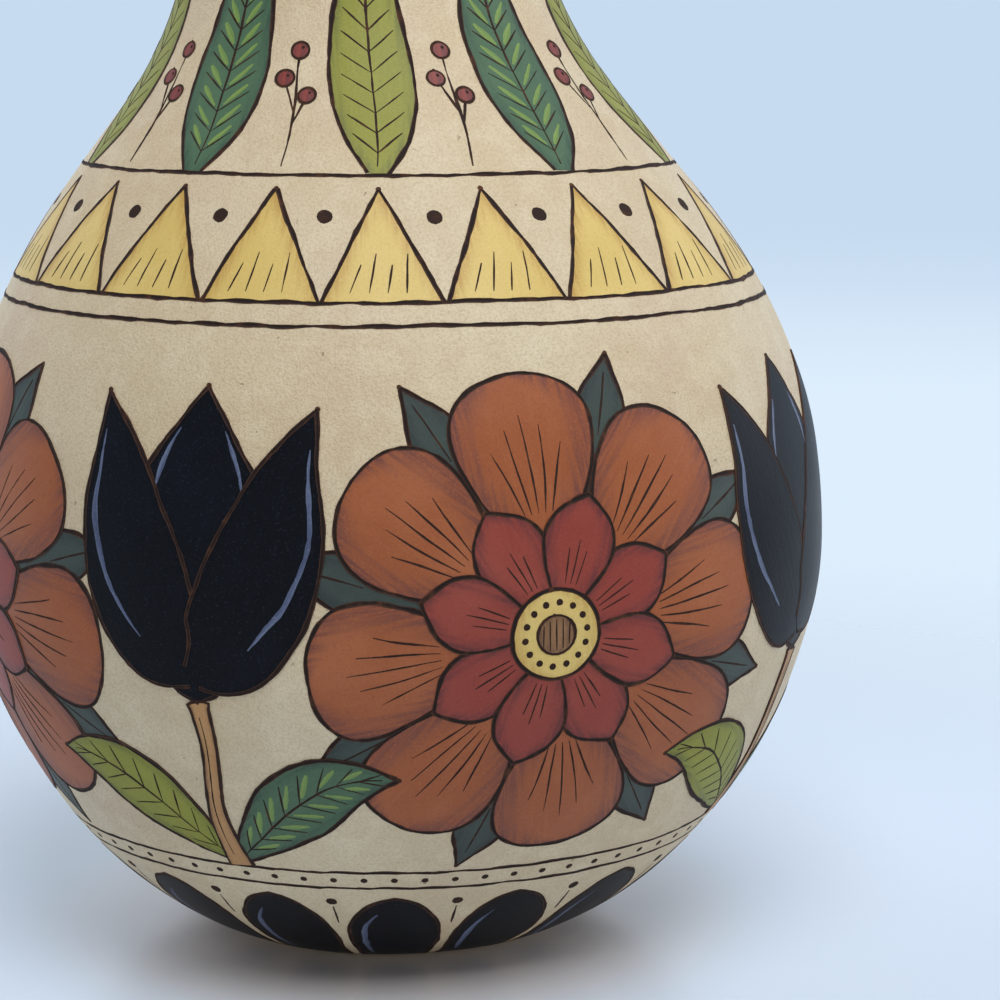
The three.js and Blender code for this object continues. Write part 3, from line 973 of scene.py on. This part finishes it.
# Neck band
# A brown band round the neck between two pen lines, hatched in bundles and ringed with blue-black dots.
# Above it the bare crown has only a ring of pen dashes and dots.
BAND_LOW = 340
BAND_HIGH = 374
BAND_LIFT = 0.1
BAND_BUNDLES = 14
BAND_ROWS = (342.5, 360.5)
BAND_HATCHES = 4
BAND_HATCH_GAP = 2.1
BAND_HATCH_SLANT = 1.5
BAND_HATCH_RISE = 11
BLUNT_TAPER = 0.3
BAND_DOTS = 24
BAND_DOT = 1.9
BAND_DOT_ALONG = 357
BAND_DOT_OVER = 0.08
CROWN_DASHES = 48
CROWN_DASH = ((0, 4), (0, 11))
CROWN_DASH_PEN = 0.34
CROWN_DOTS = 24
CROWN_DOT = 1.1
CROWN_DOT_RISE = 15
BAND_CELLS_ROUND = 110
BAND_CELLS_UP = 12
band = new_film()
band_dots = new_film()
band_grid = bmesh.ops.create_grid(band, x_segments=BAND_CELLS_ROUND, y_segments=BAND_CELLS_UP, size=0.5)
for vert in band_grid["verts"]:
    turn, share = 2 * math.pi * vert.co.x, vert.co.y + 0.5
    along = BAND_LOW + share * (BAND_HIGH - BAND_LOW)
    rim = min(share, 1 - share) * (BAND_HIGH - BAND_LOW)
    set_point(band, vert, on_rind(turn, along, BAND_LIFT), NECK_RADIUS * turn, along, rim)
bmesh.ops.remove_doubles(band, verts=band.verts, dist=SEAM_MERGE)
for along in (BAND_LOW, BAND_HIGH):
    pen_ring(along, BAND_LIFT)
for k in range(BAND_BUNDLES):
    for row, low in enumerate(BAND_ROWS):
        spot = Spot(360 * (k + 0.5 * row) / BAND_BUNDLES, low)
        for stroke in range(BAND_HATCHES):
            x = BAND_HATCH_GAP * (stroke - (BAND_HATCHES - 1) / 2)
            pen(spot, ((x, 0), (x + BAND_HATCH_SLANT, BAND_HATCH_RISE)), BAND_LIFT, HATCH_PEN, BLUNT_TAPER)
for k in range(BAND_DOTS):
    dot(band_dots, Spot(360 * k / BAND_DOTS, BAND_DOT_ALONG), 0, 0, BAND_DOT, BAND_LIFT + BAND_DOT_OVER)
for k in range(CROWN_DASHES):
    pen(Spot(360 * k / CROWN_DASHES, BAND_HIGH), CROWN_DASH, 0, CROWN_DASH_PEN, BLUNT_TAPER)
for k in range(CROWN_DOTS):
    dot(strokes, Spot(360 * k / CROWN_DOTS, BAND_HIGH + CROWN_DOT_RISE), 0, 0, CROWN_DOT, LINE_OVER)
film_piece("neck_band", band, brown_paint)
film_piece("neck_dots", band_dots, navy_paint)

# Pen lines
# The burned lines of everything above: charred nearly black in the middle of an outline, scorched brown
# at its sides and lighter where the pen moved fast.
CHAR = srgb(28, 17, 13)
SCORCH = srgb(88, 54, 35)
GROOVE_DEPTH = 0.0006
OUTLINE_SCORCH = 0.5
STROKE_SCORCH = 0.15


def char_finish(name, scorch_share):
    """A burned groove, charred in its middle and scorched at its sides."""
    material, shader, place = new_finish(name, 0.75, 0.2)
    speed = place.noise(260, 3, 0.65).ramp(0.48, 0.8)
    rim = place.attribute("rim")
    scorch = 1 - rim.ramp(0.0, 0.4)
    (0.7 * speed + scorch_share * scorch).mix(CHAR, SCORCH).feed(shader, "Base Color")
    (0.1 * place.noise(2200, 2) - rim).bump(GROOVE_DEPTH, 0.7).feed(shader, "Normal")
    return material


film_piece("burned_outlines", outlines, char_finish("burned_outline", OUTLINE_SCORCH))
film_piece("pen_strokes", strokes, char_finish("pen_stroke", STROKE_SCORCH))

# Floor, light and camera
# A pale satin floor that fades into a cool white room, with a bright wall behind and a dim one in front.
# Round the gourd's foot the floor is tinted warm: painted warm bounce light in the gourd's shadow.
# Soft lamps stand high in front, at the right and behind at the left. The floor doesn't mirror the last.
FLOOR_RADIUS = 2
FLOOR_SEGMENTS = 96
FLOOR_FADE = (0.14, 0.6)
# Painted warm bounce light: a warmer floor colour round the gourd's foot, where its shadow lies
FLOOR_PAINTED_BOUNCE = srgb(243, 235, 230)
FLOOR_FAR = srgb(222, 235, 250)
FLOOR_BOUNCE_REACH = (0.055, 0.11)
ROOM_LOW = srgb(222, 238, 253)
ROOM_HIGH = srgb(199, 219, 240)
ROOM_LIGHT_COLOUR = srgb(238, 243, 250)
ROOM_FRONT_LIGHT = 0.88
ROOM_BACK_LIGHT = 2.9
ROOM_SKIRTING = (-0.14, -0.07)
WALL_SPREAD = (0.2, 0.9)
WALL_TOP = (0.15, 0.8)
LAMP_SIZE = 0.8
PITCH_DEG = 10
YAW_DEG = 2.306
VIEW_DISTANCE = 0.75
VIEW_HEIGHT = 0.1162
LENS_MM = 98.2

floor_mesh = bmesh.new()
bmesh.ops.create_circle(floor_mesh, cap_ends=True, segments=FLOOR_SEGMENTS, radius=FLOOR_RADIUS)
floor_data = bpy.data.meshes.new("floor")
floor_mesh.to_mesh(floor_data)
floor_mesh.free()
floor = bpy.data.objects.new("floor", floor_data)
bpy.context.scene.collection.objects.link(floor)
floor_material, floor_shader, floor_place = new_finish("floor", 0.25, 0.7)
floor_tree = floor_material.node_tree
away = floor_place.node("ShaderNodeVectorMath", {0: floor_place}, out="Value", operation="LENGTH")
# Painted warm bounce light close to the gourd, and the plain cool floor farther out
away.ramp(*FLOOR_BOUNCE_REACH).mix(FLOOR_PAINTED_BOUNCE, FLOOR_FAR).feed(floor_shader, "Base Color")
clear = floor_place.node("ShaderNodeBsdfTransparent", {})
floor_surface = floor_place.node("ShaderNodeMixShader", {
    0: away.ramp(*FLOOR_FADE), 1: Shade(floor_tree, floor_shader.outputs[0]), 2: clear,
})
floor_surface.feed(floor_tree.nodes["Material Output"], "Surface")
floor_data.materials.append(floor_material)

world = bpy.data.worlds.new("room")
bpy.context.scene.world = world
world.use_nodes = True
world_tree = world.node_tree
room = world_tree.nodes["Background"]
rays = world_tree.nodes.new("ShaderNodeLightPath").outputs
camera_ray, gloss_ray, glass_ray = (
    Shade(world_tree, rays[f"Is {kind} Ray"]) for kind in ("Camera", "Glossy", "Transmission"))
seen = camera_ray.math("MAXIMUM", camera_ray, gloss_ray.math("MAXIMUM", gloss_ray, glass_ray))
direction = Shade(world_tree, world_tree.nodes.new("ShaderNodeTexCoord").outputs["Generated"])
behind, level = (direction.node("ShaderNodeSeparateXYZ", {0: direction}, out=axis) for axis in "YZ")
backdrop = level.ramp(*ROOM_SKIRTING).mix(ROOM_LOW, ROOM_HIGH)
seen.mix(ROOM_LIGHT_COLOUR, backdrop).feed(room, "Color")
walls = ROOM_BACK_LIGHT * behind.ramp(*WALL_SPREAD) + ROOM_FRONT_LIGHT * (0 - behind).ramp(*WALL_SPREAD)
light = walls * (1 - level.ramp(*WALL_TOP))
(seen + (1 - seen) * light).feed(room, "Strength")


def soft_light(name, place, target, watts, colour):
    """A square lamp that shines at a target."""
    data = bpy.data.lights.new(name, "AREA")
    data.size = LAMP_SIZE
    data.energy = watts
    data.color = colour[:3]
    lamp = bpy.data.objects.new(name, data)
    lamp.location = place
    lamp.rotation_euler = (Vector(target) - Vector(place)).to_track_quat("-Z", "Y").to_euler()
    bpy.context.scene.collection.objects.link(lamp)
    return lamp


soft_light("ceiling", (0.15, -0.6, 1.2), (0, 0, 0.15), 11.9, srgb(250, 251, 255))
soft_light("right", (0.95, 0.1, 0.5), (0, 0, 0.1), 3.2, srgb(244, 248, 255))
back_lamp = soft_light("back_left", (-0.85, 0.6, 0.5), (-0.2, 0, 0), 5.8, srgb(246, 249, 255))
back_lamp.visible_glossy = False

camera_data = bpy.data.cameras.new("camera")
camera_data.lens = LENS_MM
camera = bpy.data.objects.new("camera", camera_data)
pitch = math.radians(PITCH_DEG)
camera.location = (0, -VIEW_DISTANCE * math.cos(pitch), VIEW_HEIGHT + VIEW_DISTANCE * math.sin(pitch))
camera.rotation_euler = (math.pi / 2 - pitch, 0, -math.radians(YAW_DEG))
bpy.context.scene.collection.objects.link(camera)
bpy.context.scene.camera = camera
bpy.context.scene.view_settings.view_transform = "Standard"
